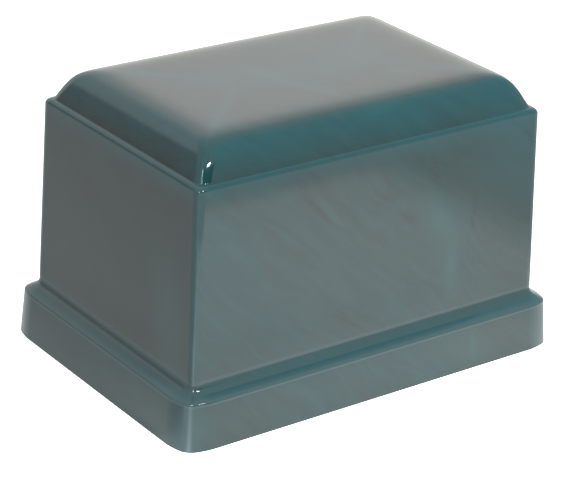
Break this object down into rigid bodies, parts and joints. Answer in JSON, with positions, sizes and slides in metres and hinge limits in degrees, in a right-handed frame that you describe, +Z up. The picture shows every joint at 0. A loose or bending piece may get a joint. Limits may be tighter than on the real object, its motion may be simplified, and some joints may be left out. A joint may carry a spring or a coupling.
{
  "type": "cremation urn",
  "caption": "Rectangular cast-marble cremation urn with a plinth, plain body and cushioned top, hollow and closed from below by a recessed plate.",
  "frame": {"origin": "centre of the underside, on the plane that the rim stands on", "axes": "+X along the length, -Y out of the front, +Z up"},
  "size_m": [0.254, 0.1792, 0.1605],
  "materials": {
    "gel_coated_marble": "glossy gel coat over veined dark teal cast marble",
    "plain_cast_marble": "the same casting, dull as it left the mould"
  },
  "bodies": {
    "root": {"urn_shell": "gel_coated_marble", "base_plate": "plain_cast_marble"}
  },
  "joints": []
}
